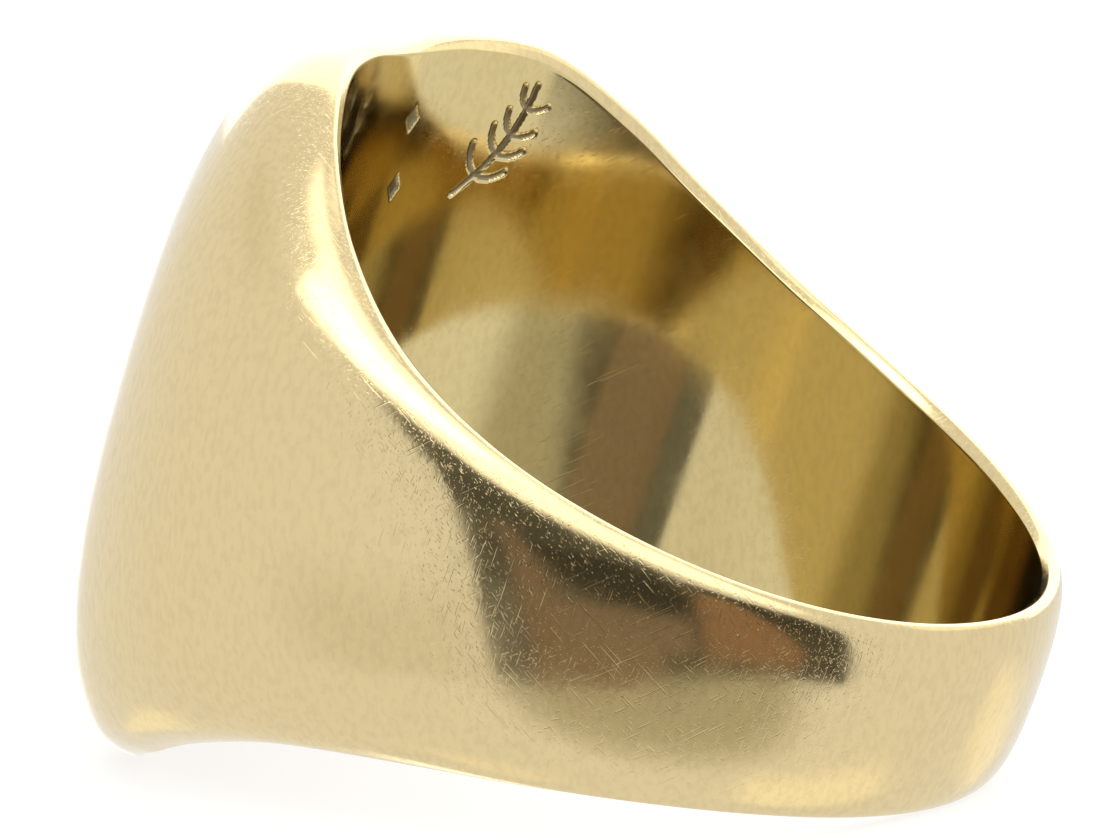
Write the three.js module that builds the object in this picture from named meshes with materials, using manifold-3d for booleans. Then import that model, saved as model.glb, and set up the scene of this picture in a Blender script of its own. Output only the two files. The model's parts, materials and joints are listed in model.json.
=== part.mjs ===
// A gents' signet ring in yellow gold, put together as a bench jeweller makes one: a seal plate
// on a solid head, two tapering shoulders and a sizing piece at the back of the shank, with the
// films of hard solder that join them. The ring lies on its side with the finger hole upright.
//
// The ring's own axes, used until the last section: X across the finger, Y along the finger and
// Z from the finger to the signet face. Angles go round the finger from the middle of the head.
import * as THREE from "three";
import * as BufferGeometryUtils from "three/addons/utils/BufferGeometryUtils.js";
import Module from "manifold-3d";

const wasm = await Module();
wasm.setup();

// Driving dimensions, in millimetres and degrees.
const BORE_RADIUS = 9.5;
const TABLE_HEIGHT = 11.7;
const SIDE_LAND = 0.23;
const PLATE_THICKNESS = 1.0;
const SOLDER_THICKNESS = 0.12;
const JOINT_CLEARANCE = 0.03;
const HEAD_SEAM_ANGLE = 42;
const SIZING_SEAM_ANGLE = 150;
const RESTING_LEAN = 19.575;

// Half the ring's width at the finger hole.
const WIDTH_STATIONS = [
  { angle: 0, value: 8.65 },
  { angle: 15, value: 8.75 },
  { angle: 30, value: 8.5 },
  { angle: 45, value: 7.35 },
  { angle: 60, value: 5.95 },
  { angle: 80, value: 4.4 },
  { angle: 105, value: 3.15 },
  { angle: 140, value: 2.3 },
  { angle: 180, value: 2.1 },
];

// How far the outside stands proud of the finger hole's edge, on each side.
const FLARE_STATIONS = [
  { angle: 0, value: 0.15 },
  { angle: 20, value: 0.3 },
  { angle: 45, value: 0.42 },
  { angle: 75, value: 0.25 },
  { angle: 110, value: 0.3 },
  { angle: 180, value: 0.3 },
];

// Height of the crown over the finger hole. Over the head the crown is filed flat at the table.
const CROWN_STATIONS = [
  { angle: 0, value: 4.6 },
  { angle: 25, value: 3.35 },
  { angle: 45, value: 3.15 },
  { angle: 65, value: 2.8 },
  { angle: 90, value: 1.65 },
  { angle: 120, value: 0.85 },
  { angle: 180, value: 0.8 },
];

// How square the crown's arch is: 2 is an ellipse.
const SQUARENESS_STATIONS = [
  { angle: 0, value: 2.4 },
  { angle: 40, value: 2.4 },
  { angle: 90, value: 2.0 },
  { angle: 180, value: 2.5 },
];

// How finely the surfaces are divided.
const CROWN_STEPS = 8;
const TABLE_STEPS = 10;
const DEGREES_PER_STEP = 5;

const GOLD = { color: 0xe0c078, roughness: 0.22, metalness: 1 };
const SOLDER = { color: 0xd8c288, roughness: 0.3, metalness: 1 };

// A smooth curve through stations, level at its first and last station.
function alongStations(stations, angle) {
  const last = stations.length - 1;
  const slope = (i) => {
    if (i === 0 || i === last) {
      return 0;
    }
    const before = stations[i - 1];
    const after = stations[i + 1];
    return (after.value - before.value) / (after.angle - before.angle);
  };
  let i = 0;
  while (i < last - 1 && angle > stations[i + 1].angle) {
    i += 1;
  }
  const span = stations[i + 1].angle - stations[i].angle;
  const t = THREE.MathUtils.clamp((angle - stations[i].angle) / span, 0, 1);
  const rise = stations[i + 1].value - stations[i].value;
  const ease = t * t * (3 - 2 * t);
  const leave = t * (1 - t) * (1 - t) * span * slope(i);
  const arrive = t * t * (1 - t) * span * slope(i + 1);
  return stations[i].value + rise * ease + leave - arrive;
}

// Distance from the bore's axis to the plane of the table, which the back of the ring never meets.
function tableRadius(angle) {
  const fall = Math.cos(THREE.MathUtils.degToRad(angle));
  return fall > 0.5 ? TABLE_HEIGHT / fall : 2 * TABLE_HEIGHT;
}

// The ring cut through at one angle: a closed outline of (along the finger, distance from the
// bore's axis). The crown is a rounded arch over the land beside the bore, cut off at the table.
function section(signedAngle) {
  const angle = Math.min(Math.abs(signedAngle), 360 - Math.abs(signedAngle));
  const rim = alongStations(WIDTH_STATIONS, angle);
  const side = rim + alongStations(FLARE_STATIONS, angle);
  const landRadius = BORE_RADIUS + SIDE_LAND;
  const rise = alongStations(CROWN_STATIONS, angle) - SIDE_LAND;
  const power = 2 / alongStations(SQUARENESS_STATIONS, angle);
  const cut = Math.min(1, (tableRadius(angle) - landRadius) / rise);
  const start = Math.acos(Math.pow(cut, 1 / power));
  const half = [];
  for (let step = 0; step < CROWN_STEPS; step += 1) {
    const turn = start + (step / CROWN_STEPS) * (Math.PI / 2 - start);
    const along = side * Math.pow(Math.sin(turn), power);
    half.push(new THREE.Vector2(along, landRadius + rise * Math.pow(Math.cos(turn), power)));
  }
  half.push(new THREE.Vector2(side, landRadius));
  half.push(new THREE.Vector2(rim, BORE_RADIUS));
  const mirrored = half.map((point) => new THREE.Vector2(-point.x, point.y)).reverse();
  return [...mirrored, ...half];
}

// A solid of ring between two angles, lofted through the sections at the angles given.
function loftGeometry(angles) {
  const outlines = angles.map(section);
  const count = outlines[0].length;
  const positions = [];
  const triangles = [];
  outlines.forEach((outline, row) => {
    const turn = THREE.MathUtils.degToRad(angles[row]);
    for (const point of outline) {
      positions.push(point.y * Math.sin(turn), point.x, point.y * Math.cos(turn));
    }
    for (let i = 0; row > 0 && i < count; i += 1) {
      const next = (i + 1) % count;
      const near = (row - 1) * count;
      const far = row * count;
      triangles.push([near + i, far + i, near + next], [near + next, far + i, far + next]);
    }
  });
  const lastRow = (outlines.length - 1) * count;
  for (const [a, b, c] of capTriangles(count)) {
    triangles.push([a, c, b], [lastRow + a, lastRow + b, lastRow + c]);
  }
  const geometry = new THREE.BufferGeometry();
  geometry.setAttribute("position", new THREE.Float32BufferAttribute(positions, 3));
  geometry.setIndex(triangles.flat());
  return geometry;
}

// Triangles over a flat end, in strips between the outline's two mirrored halves.
function capTriangles(count) {
  const last = count - 1;
  const strips = [];
  for (let i = 0; i < last - i - 1; i += 1) {
    strips.push([i, last - i, i + 1], [i + 1, last - i, last - i - 1]);
  }
  return strips;
}

// A closed geometry as a solid, with doubled points merged and collapsed triangles left out.
function solid(geometry) {
  const plain = new THREE.BufferGeometry();
  plain.setAttribute("position", geometry.getAttribute("position"));
  plain.setIndex(geometry.getIndex());
  const merged = BufferGeometryUtils.mergeVertices(plain, 1e-5);
  const index = merged.getIndex().array;
  const kept = [];
  for (let i = 0; i < index.length; i += 3) {
    const [a, b, c] = [index[i], index[i + 1], index[i + 2]];
    if (a !== b && b !== c && c !== a) {
      kept.push(a, b, c);
    }
  }
  const vertProperties = new Float32Array(merged.getAttribute("position").array);
  const triVerts = new Uint32Array(kept);
  return new wasm.Manifold(new wasm.Mesh({ numProp: 3, vertProperties, triVerts }));
}

// A named mesh of a solid.
function piece(name, body, look) {
  const { vertProperties, triVerts } = body.getMesh();
  const geometry = new THREE.BufferGeometry();
  geometry.setAttribute("position", new THREE.Float32BufferAttribute(vertProperties, 3));
  geometry.setIndex([...triVerts]);
  geometry.computeVertexNormals();
  const mesh = new THREE.Mesh(geometry, new THREE.MeshStandardMaterial(look));
  mesh.name = name;
  return mesh;
}

// Evenly spaced angles from one to another.
function evenAngles(from, to) {
  const steps = Math.max(1, Math.ceil(Math.abs(to - from) / DEGREES_PER_STEP));
  return Array.from({ length: steps + 1 }, (_, i) => from + ((to - from) * i) / steps);
}

// The angle where the crown comes down to the table, found by halving.
function tableEdgeAngle() {
  let inside = 0;
  let outside = HEAD_SEAM_ANGLE;
  for (let halving = 0; halving < 40; halving += 1) {
    const angle = (inside + outside) / 2;
    const crown = BORE_RADIUS + alongStations(CROWN_STATIONS, angle);
    [inside, outside] = crown > tableRadius(angle) ? [angle, outside] : [inside, angle];
  }
  return outside;
}

// Angles over one side of the table, closer together where its outline turns in to the edge.
function tableAngles() {
  return Array.from({ length: TABLE_STEPS }, (_, i) => {
    return tableEdgeAngle() * Math.sin(((i + 1) / TABLE_STEPS) * (Math.PI / 2));
  });
}

// A level slab of space between two heights, wide enough to take in the whole head.
function slab(bottom, top) {
  const reach = 2 * (BORE_RADIUS + TABLE_HEIGHT);
  const box = new THREE.BoxGeometry(reach, reach, top - bottom);
  box.translate(0, 0, (top + bottom) / 2);
  return solid(box);
}

// Half the angle that a width of joint takes up at the bore.
function halfJointAngle(width) {
  return THREE.MathUtils.radToDeg(width / 2 / BORE_RADIUS);
}

const FILM = halfJointAngle(SOLDER_THICKNESS);
const JOINT = halfJointAngle(SOLDER_THICKNESS + 2 * JOINT_CLEARANCE);

// The head: one blank, parted level under the seal plate.
const overTable = tableAngles();
const besideTable = evenAngles(tableEdgeAngle(), HEAD_SEAM_ANGLE - JOINT).slice(1);
const oneSide = [...overTable, ...besideTable];
const headAngles = [...oneSide.map((angle) => -angle).reverse(), 0, ...oneSide];
const headBlank = solid(loftGeometry(headAngles));
const filmTop = TABLE_HEIGHT - PLATE_THICKNESS;
const filmBottom = filmTop - SOLDER_THICKNESS;
const plate = headBlank.intersect(slab(filmTop + JOINT_CLEARANCE, 2 * TABLE_HEIGHT));
const plateSolder = headBlank.intersect(slab(filmBottom, filmTop));
const head = headBlank.intersect(slab(0, filmBottom - JOINT_CLEARANCE));

const ring = new THREE.Group();
ring.add(piece("seal_plate", plate, GOLD));
ring.add(piece("plate_solder", plateSolder, SOLDER));
ring.add(piece("head", head, GOLD));

// The shoulders and their solder, one of each on either side of the finger.
for (const [side, sign] of [["left", -1], ["right", 1]]) {
  const between = (from, to) => {
    const angles = evenAngles(sign * from, sign * to).sort((a, b) => a - b);
    return solid(loftGeometry(angles));
  };
  const shoulder = between(HEAD_SEAM_ANGLE + JOINT, SIZING_SEAM_ANGLE - JOINT);
  const headFilm = between(HEAD_SEAM_ANGLE - FILM, HEAD_SEAM_ANGLE + FILM);
  const sizingFilm = between(SIZING_SEAM_ANGLE - FILM, SIZING_SEAM_ANGLE + FILM);
  ring.add(piece(`shoulder_${side}`, shoulder, GOLD));
  ring.add(piece(`head_solder_${side}`, headFilm, SOLDER));
  ring.add(piece(`sizing_solder_${side}`, sizingFilm, SOLDER));
}

// The sizing piece at the back of the shank.
const sizingStart = SIZING_SEAM_ANGLE + JOINT;
const sizingPiece = solid(loftGeometry(evenAngles(sizingStart, 360 - sizingStart)));
ring.add(piece("sizing_piece", sizingPiece, GOLD));

// The ring lies on its side, on the end of the head and the edge of the sizing piece.
ring.rotation.x = THREE.MathUtils.degToRad(RESTING_LEAN - 90);
const part = new THREE.Group();
part.add(ring);
part.updateMatrixWorld(true);
const extent = new THREE.Box3().setFromObject(ring, true);
const middle = extent.getCenter(new THREE.Vector3());
ring.position.set(-middle.x, -middle.y, -extent.min.z);

export default part;
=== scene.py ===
"""A worn gents' signet ring in yellow gold, lying on its side on a white table.

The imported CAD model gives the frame: where the signet face is and which way it looks. Round that
this script builds the fine, polished surface of each CAD node, split at the same seams, with a
sprig and two punch marks cut into the finger hole's wall, and gives it scratched gold. A painted
light tent stands round it. Sizes are in millimetres up to the line where a mesh is made.
"""

import json
import math

import bmesh
import bpy
import numpy as np
from mathutils import Matrix, Vector


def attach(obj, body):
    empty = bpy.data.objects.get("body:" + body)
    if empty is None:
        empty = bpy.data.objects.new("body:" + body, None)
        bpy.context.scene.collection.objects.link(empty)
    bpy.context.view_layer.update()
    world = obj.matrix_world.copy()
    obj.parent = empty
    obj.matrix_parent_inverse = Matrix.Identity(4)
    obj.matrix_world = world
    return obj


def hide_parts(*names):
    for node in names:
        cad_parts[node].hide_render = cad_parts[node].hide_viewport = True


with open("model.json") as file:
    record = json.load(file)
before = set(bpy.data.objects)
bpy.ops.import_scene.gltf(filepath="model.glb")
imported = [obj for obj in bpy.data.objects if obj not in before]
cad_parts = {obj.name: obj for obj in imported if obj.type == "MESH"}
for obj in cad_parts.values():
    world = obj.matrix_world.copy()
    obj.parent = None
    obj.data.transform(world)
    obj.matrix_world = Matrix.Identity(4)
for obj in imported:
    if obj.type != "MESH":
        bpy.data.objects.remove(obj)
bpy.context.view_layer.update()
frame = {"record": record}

MM = 0.001

# ---------------------------------------------------------------------------------------------
# The ring's shape. Angles go round the finger, in degrees from the middle of the head.

BORE_RADIUS = 9.5
TABLE_HEIGHT = 11.7
SIDE_LAND = 0.23
TABLE_EDGE_ROUND = 0.55
CROWN_EDGE_ROUND = 0.16
BORE_EDGE_ROUND = 0.05
PLATE_THICKNESS = 1.0
SOLDER_THICKNESS = 0.12
HEAD_SEAM = 42
SIZING_SEAM = 150

# Half the ring's width at the finger hole.
WIDTH = [
    (0, 8.65),
    (15, 8.75),
    (30, 8.5),
    (45, 7.35),
    (60, 5.95),
    (80, 4.4),
    (105, 3.15),
    (140, 2.3),
    (180, 2.1),
]
# How far the outside stands proud of the finger hole's edge, on each side.
FLARE = [(0, 0.15), (20, 0.3), (45, 0.42), (75, 0.25), (110, 0.3), (180, 0.3)]
# Height of the crown over the finger hole.
CROWN = [(0, 4.6), (25, 3.35), (45, 3.15), (65, 2.8), (90, 1.65), (120, 0.85), (180, 0.8)]
# How square the crown's arch is: 2 is an ellipse.
SQUARENESS = [(0, 2.4), (40, 2.4), (90, 2.0), (180, 2.5)]

# The flat signet face is cut only this many degrees round from its middle.
TABLE_REACH = 60

CROWN_STEPS = 64
ROUND_STEPS = 5
BORE_STEPS = 24
STEM_STEPS = 24
LEAF_STEPS = 8
# Degrees round the finger between rows of points, and between the rows that give a row's normals.
HEAD_STEP = 0.45
SHOULDER_STEP = 0.9
SIZING_STEP = 1.0
FILM_STEP = 0.4
NORMAL_STEP = 0.05
TOLERANCE = 1e-4

# The engraved sprig and the two worn punch marks inside the head. Places on the bore are
# (round the finger, along the finger), in millimetres from the middle of the head.
SPRIG_FOOT = (3.0, -5.0)
SPRIG_TIP = (4.6, -8.05)
SPRIG_BOW = 0.35
SPRIG_LEAVES = [0.22, 0.42, 0.62, 0.82]
# A leaf's length at the sprig's foot and at its tip, and its lean from the stem in degrees.
FOOT_LEAF = 0.9775
TIP_LEAF = 0.51
LEAF_LEAN = 52
GROOVE_WIDTH = 0.18
GROOVE_DEPTH = 0.06
# The share of a groove's depth below which its gold is darker.
DARKENED_FROM = 0.25
PUNCH_MARKS = [(0.75, -6.95), (0.85, -5.15)]
PUNCH_SIZE = (0.26, 0.42)
PUNCH_DEPTH = 0.05
# The engraved stretch: degrees round the finger, millimetres along it, and its finer mesh.
ENGRAVED_ANGLES = (2, 38)
ENGRAVED_BORE = (4.2, 8.5)
ENGRAVED_SPACING = 0.045
ENGRAVED_STEPS = 96


def along(stations, angle):
    """A smooth curve through (angle, value) stations, level at both ends."""
    angles = [a for a, _ in stations]
    values = [v for _, v in stations]
    slopes = [0.0] * len(stations)
    for i in range(1, len(stations) - 1):
        slopes[i] = (values[i + 1] - values[i - 1]) / (angles[i + 1] - angles[i - 1])
    i = max(0, min(len(stations) - 2, int(np.searchsorted(angles, angle)) - 1))
    span = angles[i + 1] - angles[i]
    t = min(max((angle - angles[i]) / span, 0.0), 1.0)
    ease = t * t * (3 - 2 * t)
    leave = t * (1 - t) ** 2 * span * slopes[i]
    arrive = t * t * (1 - t) * span * slopes[i + 1]
    return values[i] + (values[i + 1] - values[i]) * ease + leave - arrive


def smooth_min(a, b, width):
    """The smaller of two, with the corner between them rounded over a width."""
    overlap = np.clip(width - np.abs(a - b), 0, None) / width
    return np.minimum(a, b) - overlap**2 * width / 4


def step_towards(start, target, distance):
    return start + (target - start) * distance / np.linalg.norm(target - start)


def bent_curve(start, bend, end, steps):
    """Points on the curve that leaves start, pulls towards bend and reaches end."""
    t = np.linspace(0, 1, steps)[:, None]
    return (1 - t) ** 2 * start + 2 * t * (1 - t) * bend + t**2 * end


def sprig():
    """The sprig's grooves: a bowed stem and pairs of curved leaves along it."""
    foot, tip = np.array(SPRIG_FOOT), np.array(SPRIG_TIP)
    forward = (tip - foot) / np.linalg.norm(tip - foot)
    sideways = np.array([-forward[1], forward[0]])
    stem = bent_curve(foot, (foot + tip) / 2 + 2 * SPRIG_BOW * sideways, tip, STEM_STEPS)
    grooves = [stem]
    lean = math.radians(LEAF_LEAN)
    for place in SPRIG_LEAVES:
        node = stem[round(place * (len(stem) - 1))]
        length = FOOT_LEAF + (TIP_LEAF - FOOT_LEAF) * place
        for side in (-1, 1):
            out = math.cos(lean) * forward + math.sin(lean) * side * sideways
            bend = node + length / 2 * side * sideways
            grooves.append(bent_curve(node, bend, node + length * out, LEAF_STEPS))
    return grooves


def engraved_depth(angle, places_along, grooves):
    """How deep the engraving is at places along the finger, at an angle round it."""
    round_finger = math.radians(angle) * BORE_RADIUS
    here = np.stack([np.full(len(places_along), round_finger), places_along], axis=1)
    depth = np.zeros(len(places_along))
    for groove in grooves:
        starts, spans = groove[:-1], np.diff(groove, axis=0)
        offset = here[:, None] - starts
        t = np.clip((offset * spans).sum(-1) / (spans**2).sum(-1), 0, 1)
        distance = np.linalg.norm(offset - t[..., None] * spans, axis=-1).min(axis=1)
        fullness = np.clip(1 - (2 * distance / GROOVE_WIDTH) ** 2, 0, 1)
        depth = np.maximum(depth, GROOVE_DEPTH * fullness)
    for mark in PUNCH_MARKS:
        reach = np.abs((here - mark) / PUNCH_SIZE).sum(axis=1)
        depth = np.maximum(depth, PUNCH_DEPTH * np.clip(2 * (1 - reach), 0, 1))
    return depth


SPRIG = sprig()


def bore_places(rim_end, engraved):
    """Places along half the bore, from its edge to the middle."""
    if not engraved:
        return np.linspace(rim_end, 0, BORE_STEPS)
    near_middle, near_edge = ENGRAVED_BORE
    near_edge = min(near_edge, rim_end - ENGRAVED_SPACING)
    fine = np.linspace(near_edge, near_middle, ENGRAVED_STEPS)
    return np.concatenate([[rim_end], fine, np.linspace(near_middle, 0, BORE_STEPS)[1:]])


def section(signed_angle, engraved=False):
    """The ring cut at an angle: a closed outline of (along the finger, from the bore's axis)."""
    angle = abs((signed_angle + 180) % 360 - 180)
    rim = along(WIDTH, angle)
    side = rim + along(FLARE, angle)
    land = BORE_RADIUS + SIDE_LAND
    rise = along(CROWN, angle) - SIDE_LAND
    power = 2 / along(SQUARENESS, angle)
    last_turn = math.acos((CROWN_EDGE_ROUND / rise) ** (1 / power))
    turn = np.linspace(0, last_turn, CROWN_STEPS)
    crown = land + rise * np.cos(turn) ** power
    if angle < TABLE_REACH:
        table = TABLE_HEIGHT / math.cos(math.radians(angle))
        crown = smooth_min(crown, table, TABLE_EDGE_ROUND)
    arch = np.stack([side * np.sin(turn) ** power, crown], axis=1)
    shoulder = np.array([side, land])
    edge = np.array([rim, BORE_RADIUS])
    middle = np.array([0.0, BORE_RADIUS])
    land_start = step_towards(shoulder, edge, CROWN_EDGE_ROUND)
    land_end = step_towards(edge, shoulder, BORE_EDGE_ROUND)
    bore_start = step_towards(edge, middle, BORE_EDGE_ROUND)
    places = bore_places(bore_start[0], engraved)
    bore = np.stack([places, np.full(len(places), BORE_RADIUS)], axis=1)
    half = np.concatenate(
        [
            arch[:-1],
            bent_curve(arch[-1], shoulder, land_start, ROUND_STEPS),
            bent_curve(land_end, edge, bore_start, ROUND_STEPS),
            bore[1:],
        ]
    )
    mirrored = half[1:-1][::-1] * (-1, 1)
    outline = np.concatenate([half, mirrored])
    if engraved:
        wall = np.abs(outline[:, 1] - BORE_RADIUS) < TOLERANCE
        outline[wall, 1] += engraved_depth(signed_angle, outline[wall, 0], SPRIG)
    return outline


def round_the_finger(outline, angle):
    """An outline's points in the ring's own axes."""
    turn = math.radians(angle)
    across = outline[:, 1] * math.sin(turn)
    up = outline[:, 1] * math.cos(turn)
    return np.stack([across, outline[:, 0], up], axis=1)


def surface_row(angle, engraved):
    """The points of the ring's surface at an angle, and which way the surface faces there."""
    points = round_the_finger(section(angle, engraved), angle)
    ahead = round_the_finger(section(angle + NORMAL_STEP, engraved), angle + NORMAL_STEP)
    behind = round_the_finger(section(angle - NORMAL_STEP, engraved), angle - NORMAL_STEP)
    along_outline = np.roll(points, -1, axis=0) - np.roll(points, 1, axis=0)
    normals = np.cross(ahead - behind, along_outline)
    return points, normals / np.linalg.norm(normals, axis=1)[:, None]


# ---------------------------------------------------------------------------------------------
# From the ring's own axes to the frame's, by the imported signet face.

table_mount = next(m for m in frame["record"]["mounts"] if m["name"] == "signet_table")
ring_up = Vector(table_mount["axis"]).normalized()
ring_across = Vector((1, 0, 0))
ring_along = ring_up.cross(ring_across)
ring_centre = Vector(table_mount["pos_m"]) - ring_up * TABLE_HEIGHT * MM
RING_TO_FRAME = Matrix.Translation(ring_centre) @ (
    Matrix((ring_across, ring_along, ring_up)).transposed().to_4x4() @ Matrix.Scale(MM, 4)
)


# ---------------------------------------------------------------------------------------------
# Solids


OUTSIDE, INSIDE, ENGRAVED = 0, 1, 2


def surface_kind(point, wall_end):
    """Which finish a point has; the wall of the finger hole ends where its edge starts to round."""
    depth = math.hypot(point[0], point[2]) - BORE_RADIUS
    if depth > GROOVE_DEPTH + TOLERANCE:
        return OUTSIDE
    if depth > DARKENED_FROM * GROOVE_DEPTH and abs(point[1]) < wall_end:
        return ENGRAVED
    return INSIDE


def loft(angles, engraved=False):
    """A closed length of ring through the angles, with the true surface normal kept at each point."""
    body = bmesh.new()
    facing = body.verts.layers.float_vector.new("facing")
    rows = []
    kinds = []
    for angle in angles:
        points, normals = surface_row(angle, engraved)
        row = [body.verts.new(p) for p in points]
        for vert, normal in zip(row, normals):
            vert[facing] = normal
        rows.append(row)
        wall_end = along(WIDTH, abs(angle)) - 2 * BORE_EDGE_ROUND if engraved else 0
        kinds.append([surface_kind(p, wall_end) for p in points])
    for near, far, kind in zip(rows, rows[1:], kinds):
        for i in range(len(near)):
            after = (i + 1) % len(near)
            face = body.faces.new((near[i], near[after], far[after], far[i]))
            face.smooth = True
            face.material_index = min(kind[i], kind[after])
    body.faces.new(list(reversed(rows[0])))
    body.faces.new(rows[-1])
    return body


def cut_level(body, height, keep_above):
    """Cuts a body flat across the head at a height, and closes the cut."""
    geometry = body.verts[:] + body.edges[:] + body.faces[:]
    bmesh.ops.bisect_plane(
        body,
        geom=geometry,
        plane_co=(0, 0, height),
        plane_no=(0, 0, 1),
        clear_outer=not keep_above,
        clear_inner=keep_above,
    )
    open_edges = [e for e in body.edges if e.is_boundary]
    for face in bmesh.ops.holes_fill(body, edges=open_edges, sides=0)["faces"]:
        face.smooth = False


def make_piece(name, body, finish, slot, node):
    """A shown piece from a body, riding with the ring and standing for its CAD node."""
    mesh = bpy.data.meshes.new(name)
    bmesh.ops.recalc_face_normals(body, faces=body.faces[:])
    body.to_mesh(mesh)
    body.free()
    facing = mesh.attributes["facing"].data
    corner_normals = []
    for polygon in mesh.polygons:
        for vertex in polygon.vertices:
            normal = facing[vertex].vector if polygon.use_smooth else polygon.normal
            corner_normals.append(normal[:])
    mesh.normals_split_custom_set(corner_normals)
    mesh.attributes.remove(mesh.attributes["facing"])
    mesh.transform(RING_TO_FRAME)
    for material in finish:
        mesh.materials.append(material)
    piece = bpy.data.objects.new(name, mesh)
    bpy.context.scene.collection.objects.link(piece)
    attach(piece, "root")
    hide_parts(node)
    return piece


# ---------------------------------------------------------------------------------------------
# Materials. Lumps, lines and pits are in millimetres, and depths in micrometres.

MICROMETRE = 1e-6
RIPPLE_SIZE = (1.6, 1.6, 1.6)
DENTED_SIZE = (1.3, 1.3, 1.3)
DIMPLE_SIZE = (0.19, 0.19, 0.19)
SCUFF_SIZE = (0.5, 0.045, 0.045)
SCUFF_TURN = (0, -80, -60)
PITTED_SIZE = (0.5, 0.5, 0.5)
PIT_SPACING = 0.4
PIT_RADIUS = 0.03
ROUGH_SIZE = (0.9, 0.9, 0.9)
TINT_SIZE = (0.16, 0.16, 0.3)
DULLED = 0.93
# Where in its noise each of these starts and is complete.
DENTED = (0.42, 0.68)
PITTED = (0.6, 0.65)
ROUGH = (0.35, 0.65)
TINTED = (0.42, 0.66)
HAIRLINE_FROM = 0.715
HAIRLINE_EDGE = 0.1
# Each set of hairlines: the turn of its axes in degrees, and a line's length and width.
HAIRLINES = [
    ((0, -25, -60), 1.6, 0.04),
    ((0, 50, -50), 1.1, 0.04),
    ((0, -70, -75), 0.8, 0.035),
    ((0, 40, -100), 0.9, 0.035),
]
WORN_POLISH = {
    "ripple": 3.0,
    "dimple": 2.2,
    "hairline": 1.4,
    "hairline_sets": 4,
    "scuff": 0.2,
    "pit": 2.5,
    "roughness": (0.09, 0.15),
}
INSIDE_SATIN = {
    "ripple": 3.0,
    "dimple": 0.3,
    "hairline": 0.4,
    "hairline_sets": 1,
    "scuff": 0.1,
    "pit": 0.6,
    "roughness": (0.08, 0.12),
}
GROOVE_BOTTOM_FINISH = dict(INSIDE_SATIN, roughness=(0.3, 0.4))

GOLD_COLOUR = (0.77, 0.62, 0.34)
SOLDER_COLOUR = (0.771, 0.621, 0.342)
# The finger hole's wall is given a darker, deeper gold than the outside: painted shade inside the ring.
INSIDE_SHADED_COLOUR = (0.7, 0.57, 0.28)
# The bottoms of the engraved grooves are a darker, duller gold.
GROOVE_BOTTOM_COLOUR = (0.3, 0.25, 0.15)


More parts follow.
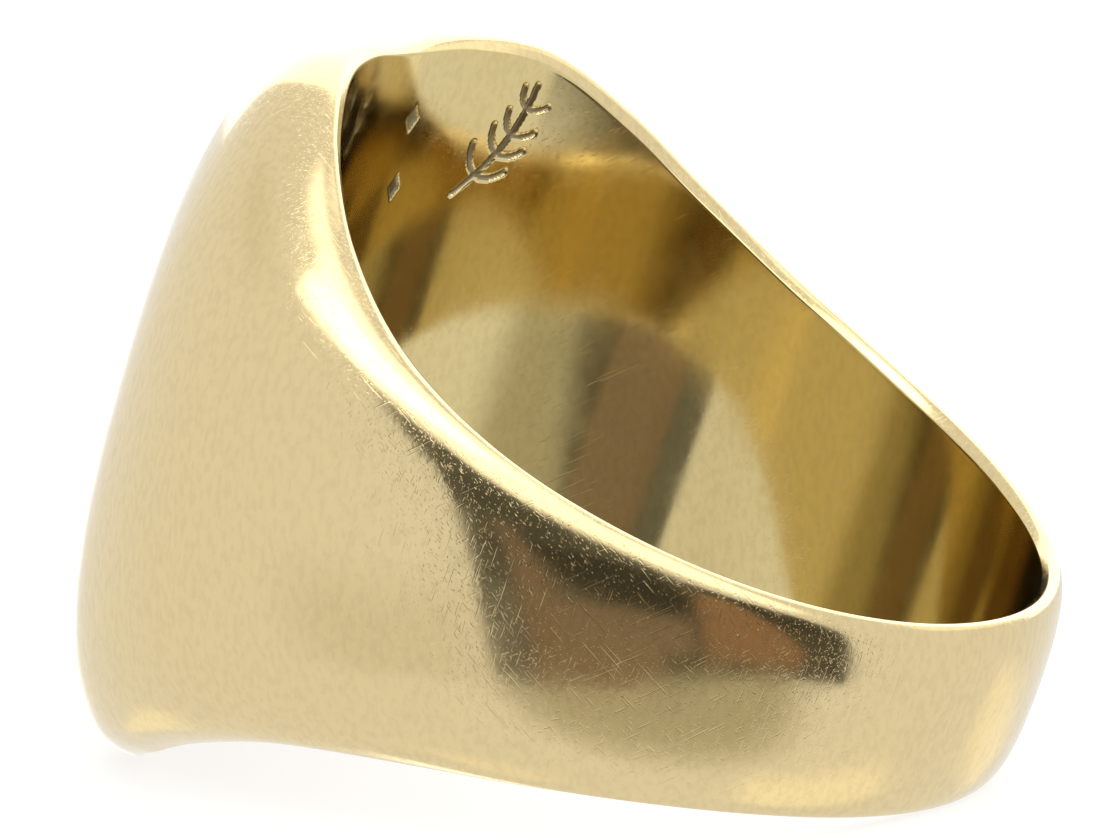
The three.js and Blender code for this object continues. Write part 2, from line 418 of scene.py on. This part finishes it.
def gold_material(name, colour, wear):
    """Gold with the hairlines, pits, dimples and soft ripple of years of wear."""
    material = bpy.data.materials.new(name)
    material.use_nodes = True
    nodes, links = material.node_tree.nodes, material.node_tree.links
    shader = nodes["Principled BSDF"]
    shader.inputs["Metallic"].default_value = 1
    position = nodes.new("ShaderNodeTexCoord").outputs["Object"]

    def math_node(operation, first, second):
        node = nodes.new("ShaderNodeMath")
        node.operation = operation
        for socket, value in zip(node.inputs, (first, second)):
            if isinstance(value, (int, float)):
                socket.default_value = value
            else:
                links.new(value, socket)
        return node.outputs[0]

    def noise(size, detail=0.0, turn=(0, 0, 0)):
        """Noise whose lumps are the size given in millimetres along three turned axes."""
        mapping = nodes.new("ShaderNodeMapping")
        mapping.vector_type = "TEXTURE"
        mapping.inputs["Rotation"].default_value = [math.radians(d) for d in turn]
        mapping.inputs["Scale"].default_value = [d * MM for d in size]
        links.new(position, mapping.inputs["Vector"])
        texture = nodes.new("ShaderNodeTexNoise")
        texture.inputs["Scale"].default_value = 1
        texture.inputs["Detail"].default_value = detail
        links.new(mapping.outputs["Vector"], texture.inputs["Vector"])
        return texture.outputs["Fac"]

    def between(value, low, high, to_low=0.0, to_high=1.0):
        ramp = nodes.new("ShaderNodeMapRange")
        ramp.inputs["From Min"].default_value = low
        ramp.inputs["From Max"].default_value = high
        ramp.inputs["To Min"].default_value = to_low
        ramp.inputs["To Max"].default_value = to_high
        links.new(value, ramp.inputs["Value"])
        return ramp.outputs["Result"]

    def deeper(total, value, depth):
        """Adds a value times a depth in micrometres to the height."""
        return math_node("ADD", total, math_node("MULTIPLY", value, depth))

    height = math_node("MULTIPLY", noise(RIPPLE_SIZE), wear["ripple"])
    dented = between(noise(DENTED_SIZE), *DENTED)
    dimples = math_node("MULTIPLY", noise(DIMPLE_SIZE, detail=1.0), dented)
    height = deeper(height, dimples, wear["dimple"])
    for turn, length, width in HAIRLINES[: wear["hairline_sets"]]:
        streaks = noise((length, width, width), turn=turn)
        lines = between(streaks, HAIRLINE_FROM, HAIRLINE_FROM + HAIRLINE_EDGE)
        height = deeper(height, lines, -wear["hairline"])
    height = deeper(height, noise(SCUFF_SIZE, turn=SCUFF_TURN), wear["scuff"])
    pits = nodes.new("ShaderNodeTexVoronoi")
    pits.inputs["Scale"].default_value = 1 / (PIT_SPACING * MM)
    links.new(position, pits.inputs["Vector"])
    pit_shape = between(pits.outputs["Distance"], 0.0, PIT_RADIUS / PIT_SPACING, 1.0, 0.0)
    pitted = between(noise(PITTED_SIZE), *PITTED)
    height = deeper(height, math_node("MULTIPLY", pit_shape, pitted), -wear["pit"])

    bump = nodes.new("ShaderNodeBump")
    bump.inputs["Distance"].default_value = MICROMETRE
    links.new(height, bump.inputs["Height"])
    links.new(bump.outputs["Normal"], shader.inputs["Normal"])
    rough_patches = between(noise(ROUGH_SIZE, detail=2.0), *ROUGH, *wear["roughness"])
    links.new(rough_patches, shader.inputs["Roughness"])

    tint = nodes.new("ShaderNodeMix")
    tint.data_type = "RGBA"
    tint.inputs["A"].default_value = (*colour, 1)
    tint.inputs["B"].default_value = (*[c * DULLED for c in colour], 1)
    links.new(between(noise(TINT_SIZE, detail=2.0), *TINTED), tint.inputs["Factor"])
    links.new(tint.outputs["Result"], shader.inputs["Base Color"])
    return material


# The second material of each pair is for the finger hole's wall; its darker colour is painted shade.
gold = (
    gold_material("gold", GOLD_COLOUR, WORN_POLISH),
    gold_material("gold_inside_shaded", INSIDE_SHADED_COLOUR, INSIDE_SATIN),
)
engraved_gold = (*gold, gold_material("gold_engraved", GROOVE_BOTTOM_COLOUR, GROOVE_BOTTOM_FINISH))
solder = (
    gold_material("gold_solder", SOLDER_COLOUR, WORN_POLISH),
    gold_material("gold_solder_inside_shaded", INSIDE_SHADED_COLOUR, INSIDE_SATIN),
)

# ---------------------------------------------------------------------------------------------
# The pieces, split at the seams of the CAD nodes.

FILM = math.degrees(SOLDER_THICKNESS / 2 / BORE_RADIUS)


def angles_between(start, end, step):
    return np.linspace(start, end, max(2, 1 + math.ceil((end - start) / step)))


HEAD_ANGLES = angles_between(-HEAD_SEAM + FILM, HEAD_SEAM - FILM, HEAD_STEP)
FILM_TOP = TABLE_HEIGHT - PLATE_THICKNESS
FILM_BOTTOM = FILM_TOP - SOLDER_THICKNESS

plate_body = loft(HEAD_ANGLES)
cut_level(plate_body, FILM_TOP, keep_above=True)
make_piece("seal_plate_gold", plate_body, gold, "gold", "seal_plate")

plate_film_body = loft(HEAD_ANGLES)
cut_level(plate_film_body, FILM_TOP, keep_above=False)
cut_level(plate_film_body, FILM_BOTTOM, keep_above=True)
make_piece("plate_solder_line", plate_film_body, solder, "solder", "plate_solder")

fine_angles = angles_between(*ENGRAVED_ANGLES, math.degrees(ENGRAVED_SPACING / BORE_RADIUS))
outside_fine = (HEAD_ANGLES < ENGRAVED_ANGLES[0]) | (HEAD_ANGLES > ENGRAVED_ANGLES[1])
head_body = loft(np.sort(np.concatenate([HEAD_ANGLES[outside_fine], fine_angles])), engraved=True)
cut_level(head_body, FILM_BOTTOM, keep_above=False)
make_piece("head_gold", head_body, engraved_gold, "gold", "head")

for side, sign in (("left", -1), ("right", 1)):
    spans = {
        "shoulder": (HEAD_SEAM + FILM, SIZING_SEAM - FILM, SHOULDER_STEP),
        "head_solder": (HEAD_SEAM - FILM, HEAD_SEAM + FILM, FILM_STEP),
        "sizing_solder": (SIZING_SEAM - FILM, SIZING_SEAM + FILM, FILM_STEP),
    }
    for part, (start, end, step) in spans.items():
        low, high = sorted((sign * start, sign * end))
        body = loft(angles_between(low, high, step))
        finish = (gold, "gold") if part == "shoulder" else (solder, "solder")
        make_piece(f"{part}_{side}_polished", body, *finish, f"{part}_{side}")

sizing_angles = angles_between(SIZING_SEAM + FILM, 360 - SIZING_SEAM - FILM, SIZING_STEP)
make_piece("sizing_piece_gold", loft(sizing_angles), gold, "gold", "sizing_piece")

# ---------------------------------------------------------------------------------------------
# Light, table and camera

TENT_COLOUR = (0.95, 0.95, 0.94)
TABLE_EDGE_ELEVATION = -32
TABLE_EDGE_SOFTNESS = 0.01
# Each panel: its corners as (azimuth, elevation), how soft its edges are, and its colour. A later
# panel covers an earlier one.
TENT_PANELS = [
    # The lamps overhead and to the side.
    (
        [(133, 50), (190, 52), (240, 50), (280, 72), (230, 80), (175, 75), (150, 66)],
        0.03,
        (2.3, 2.25, 2.15),
    ),
    ([(180, 60), (240, 55), (320, 70), (300, 82), (180, 80)], 0.08, (2.3, 2.25, 2.15)),
    (
        [(188, 60), (198, 42), (213, 24), (228, 12), (258, 5), (268, 14), (250, 42), (232, 60)],
        0.07,
        (2.1, 2.05, 1.95),
    ),
    ([(155, 60), (185, 57), (212, 54), (242, 66), (245, 78), (180, 75)], 0.08, (3.2, 3.2, 3.1)),
    ([(272, 72), (272, 46), (320, 36), (325, 50), (310, 66)], 0.07, (1.7, 1.65, 1.55)),
    # The lamp behind the signet face.
    (
        [(340, 60), (20, 67), (50, 60), (59, 46), (59, 33), (54, 10), (38, 0), (340, 5)],
        0.015,
        (2.15, 2.1, 2.05),
    ),
    ([(300, 32), (338, 40), (340, 16), (300, 14)], 0.06, (1.4, 1.38, 1.3)),
    ([(36, -2), (46, -3), (54, -16), (38, -18)], 0.08, (1.7, 1.75, 1.9)),
    # Duller and brighter places on the tent wall.
    ([(95, 52), (128, 52), (122, 36), (92, 30)], 0.12, (0.88, 0.86, 0.82)),
    ([(150, -12), (188, -12), (190, -50), (150, -50)], 0.15, (0.84, 0.82, 0.78)),
    ([(332, -20), (359, -20), (359, -30), (332, -30)], 0.06, (1.2, 1.15, 1.0)),
    # The dark opening.
    (
        [(183, 51), (190, 46), (199, 37), (214, 16), (222, -38), (192, -38), (188, -8), (184, 22)],
        0.02,
        (0.12, 0.12, 0.1),
    ),
    ([(210, 20), (229, 4), (231, -38), (208, -38)], 0.03, (0.12, 0.12, 0.1)),
    ([(226, 5), (259, -1), (268, -8), (274, -38), (224, -38)], 0.03, (0.12, 0.11, 0.09)),
    ([(186, 30), (200, 28), (212, 10), (204, -4), (190, 0)], 0.05, (0.09, 0.09, 0.075)),
    # What shows through the opening.
    ([(190, -8), (197, -12), (200, -38), (192, -38)], 0.03, (0.17, 0.17, 0.15)),
    ([(199, -13), (228, -18), (230, -38), (199, -38)], 0.04, (0.27, 0.205, 0.155)),
    ([(194, 12), (197, 10), (204, -14), (202, -30), (198, -20)], 0.02, (0.26, 0.19, 0.14)),
    ([(201, 4), (222, 2), (229, -6), (229, -16), (210, -14), (203, -6)], 0.035, (0.055, 0.053, 0.044)),
    ([(232, -3), (240, -3), (258, -24), (255, -38), (234, -38), (230, -14)], 0.03, (0.33, 0.205, 0.13)),
    ([(222, -26), (243, -28), (259, -29), (259, -38), (222, -38)], 0.03, (0.14, 0.125, 0.095)),
    ([(241, 1), (258, -1), (266, -8), (266, -18), (258, -20), (245, -7)], 0.03, (0.06, 0.055, 0.043)),
    ([(257, -16), (269, -14), (272, -38), (259, -38)], 0.03, (0.09, 0.085, 0.07)),
]
TABLE_PANELS = [
    # The shadow in front of the ring, then bright places on the table.
    ([(188, -20), (255, -20), (262, -42), (196, -41)], 0.13, (0.54, 0.52, 0.42)),
    ([(255, -50), (298, -40), (312, -44), (300, -66), (262, -66)], 0.08, (1.22, 1.18, 1.05)),
    ([(138, -60), (178, -60), (180, -74), (136, -74)], 0.08, (1.12, 1.08, 1.0)),
    ([(42, -42), (56, -50), (78, -60), (60, -64), (42, -60)], 0.05, (1.7, 1.75, 1.9)),
    ([(58, -33), (78, -33), (78, -42), (58, -42)], 0.05, (1.2, 1.15, 0.95)),
]


def heading(azimuth, elevation):
    """A direction from its compass angle, measured from +X towards +Y, and its height."""
    a, e = math.radians(azimuth), math.radians(elevation)
    return Vector((math.cos(a) * math.cos(e), math.sin(a) * math.cos(e), math.sin(e)))


def tent_world():
    """A white light tent seen from inside, painted panel over panel on the sky round the ring."""
    world = bpy.data.worlds.new("light_tent")
    world.use_nodes = True
    tree = world.node_tree
    nodes, links = tree.nodes, tree.links
    background = nodes["Background"]
    direction = nodes.new("ShaderNodeTexCoord").outputs["Generated"]

    def edge_mask(normal, softness, offset=0.0):
        """1 where a direction's reach along the normal is more than the offset."""
        dot = nodes.new("ShaderNodeVectorMath")
        dot.operation = "DOT_PRODUCT"
        links.new(direction, dot.inputs[0])
        dot.inputs[1].default_value = normal
        ramp = nodes.new("ShaderNodeMapRange")
        ramp.interpolation_type = "SMOOTHSTEP"
        ramp.inputs["From Min"].default_value = offset - softness
        ramp.inputs["From Max"].default_value = offset + softness
        links.new(dot.outputs["Value"], ramp.inputs["Value"])
        return ramp.outputs["Result"]

    def panel_mask(corners, softness):
        """1 inside the corners, given in order as (azimuth, elevation), and 0 outside."""
        headings = [heading(*c) for c in corners]
        middle = sum(headings, Vector()).normalized()
        mask = None
        for start, end in zip(headings, headings[1:] + headings[:1]):
            normal = start.cross(end).normalized()
            if normal.dot(middle) < 0:
                normal.negate()
            edge = edge_mask(normal, softness)
            mask = both(mask, edge) if mask else edge
        return mask

    def both(first, second):
        product = nodes.new("ShaderNodeMath")
        product.operation = "MULTIPLY"
        links.new(first, product.inputs[0])
        links.new(second, product.inputs[1])
        return product.outputs[0]

    def painted_over(under, mask, paint):
        mix = nodes.new("ShaderNodeMix")
        mix.data_type = "RGBA"
        for name, value in (("A", under), ("B", paint)):
            if isinstance(value, tuple):
                mix.inputs[name].default_value = (*value, 1)
            else:
                links.new(value, mix.inputs[name])
        links.new(mask, mix.inputs["Factor"])
        return mix.outputs["Result"]

    colour = TENT_COLOUR
    for corners, softness, paint in TENT_PANELS:
        colour = painted_over(colour, panel_mask(corners, softness), paint)
    table_level = math.sin(math.radians(TABLE_EDGE_ELEVATION))
    below = edge_mask((0, 0, -1), TABLE_EDGE_SOFTNESS, -table_level)
    colour = painted_over(colour, below, TENT_COLOUR)
    for corners, softness, paint in TABLE_PANELS:
        colour = painted_over(colour, both(panel_mask(corners, softness), below), paint)
    seen_directly = nodes.new("ShaderNodeLightPath").outputs["Is Camera Ray"]
    plain = nodes.new("ShaderNodeMix")
    plain.data_type = "RGBA"
    plain.inputs["B"].default_value = (1, 1, 1, 1)
    links.new(colour, plain.inputs["A"])
    links.new(seen_directly, plain.inputs["Factor"])
    links.new(plain.outputs["Result"], background.inputs["Color"])
    return world


bpy.context.scene.world = tent_world()

# The table's half width is in metres.
FLOOR_REACH = 0.6
FLOOR_COLOUR = (0.25, 0.25, 0.25, 1)
FLOOR_ROUGHNESS = 0.9
FLOOR_GLOW_COLOUR = (1, 1, 1, 1)
FLOOR_GLOW = 0.78

floor_mesh = bpy.data.meshes.new("table_top")
floor_corners = [(x * FLOOR_REACH, y * FLOOR_REACH, 0) for x, y in ((-1, -1), (1, -1), (1, 1), (-1, 1))]
floor_mesh.from_pydata(floor_corners, [], [(0, 1, 2, 3)])
floor = bpy.data.objects.new("table_top", floor_mesh)
bpy.context.scene.collection.objects.link(floor)
white = bpy.data.materials.new("white_table")
white.use_nodes = True
white_shader = white.node_tree.nodes["Principled BSDF"]
white_shader.inputs["Base Color"].default_value = FLOOR_COLOUR
white_shader.inputs["Roughness"].default_value = FLOOR_ROUGHNESS
white_shader.inputs["Emission Color"].default_value = FLOOR_GLOW_COLOUR
white_shader.inputs["Emission Strength"].default_value = FLOOR_GLOW
floor_mesh.materials.append(white)
floor.visible_glossy = False

# The camera looks at the aim from this far away. Its lens and distance are in millimetres.
CAMERA_AZIMUTH = -59.79
CAMERA_ELEVATION = 6.85
CAMERA_ROLL = 0.16
CAMERA_DISTANCE = 117.3
CAMERA_LENS = 157.7
CAMERA_AIM = (-0.13, 0.11, 8.24)

camera_data = bpy.data.cameras.new("camera")
camera = bpy.data.objects.new("camera", camera_data)
bpy.context.scene.collection.objects.link(camera)
a, e = math.radians(CAMERA_AZIMUTH), math.radians(CAMERA_ELEVATION)
back = Vector((math.sin(a) * math.cos(e), -math.cos(a) * math.cos(e), math.sin(e)))
camera.location = Vector(CAMERA_AIM) * MM + back * CAMERA_DISTANCE * MM
camera.rotation_mode = "QUATERNION"
roll = Matrix.Rotation(math.radians(CAMERA_ROLL), 3, "Z").to_quaternion()
camera.rotation_quaternion = (-back).to_track_quat("-Z", "Y") @ roll
camera_data.lens = CAMERA_LENS
camera_data.clip_start = 0.001
camera_data.clip_end = 10
bpy.context.scene.camera = camera
bpy.context.scene.view_settings.view_transform = "Standard"
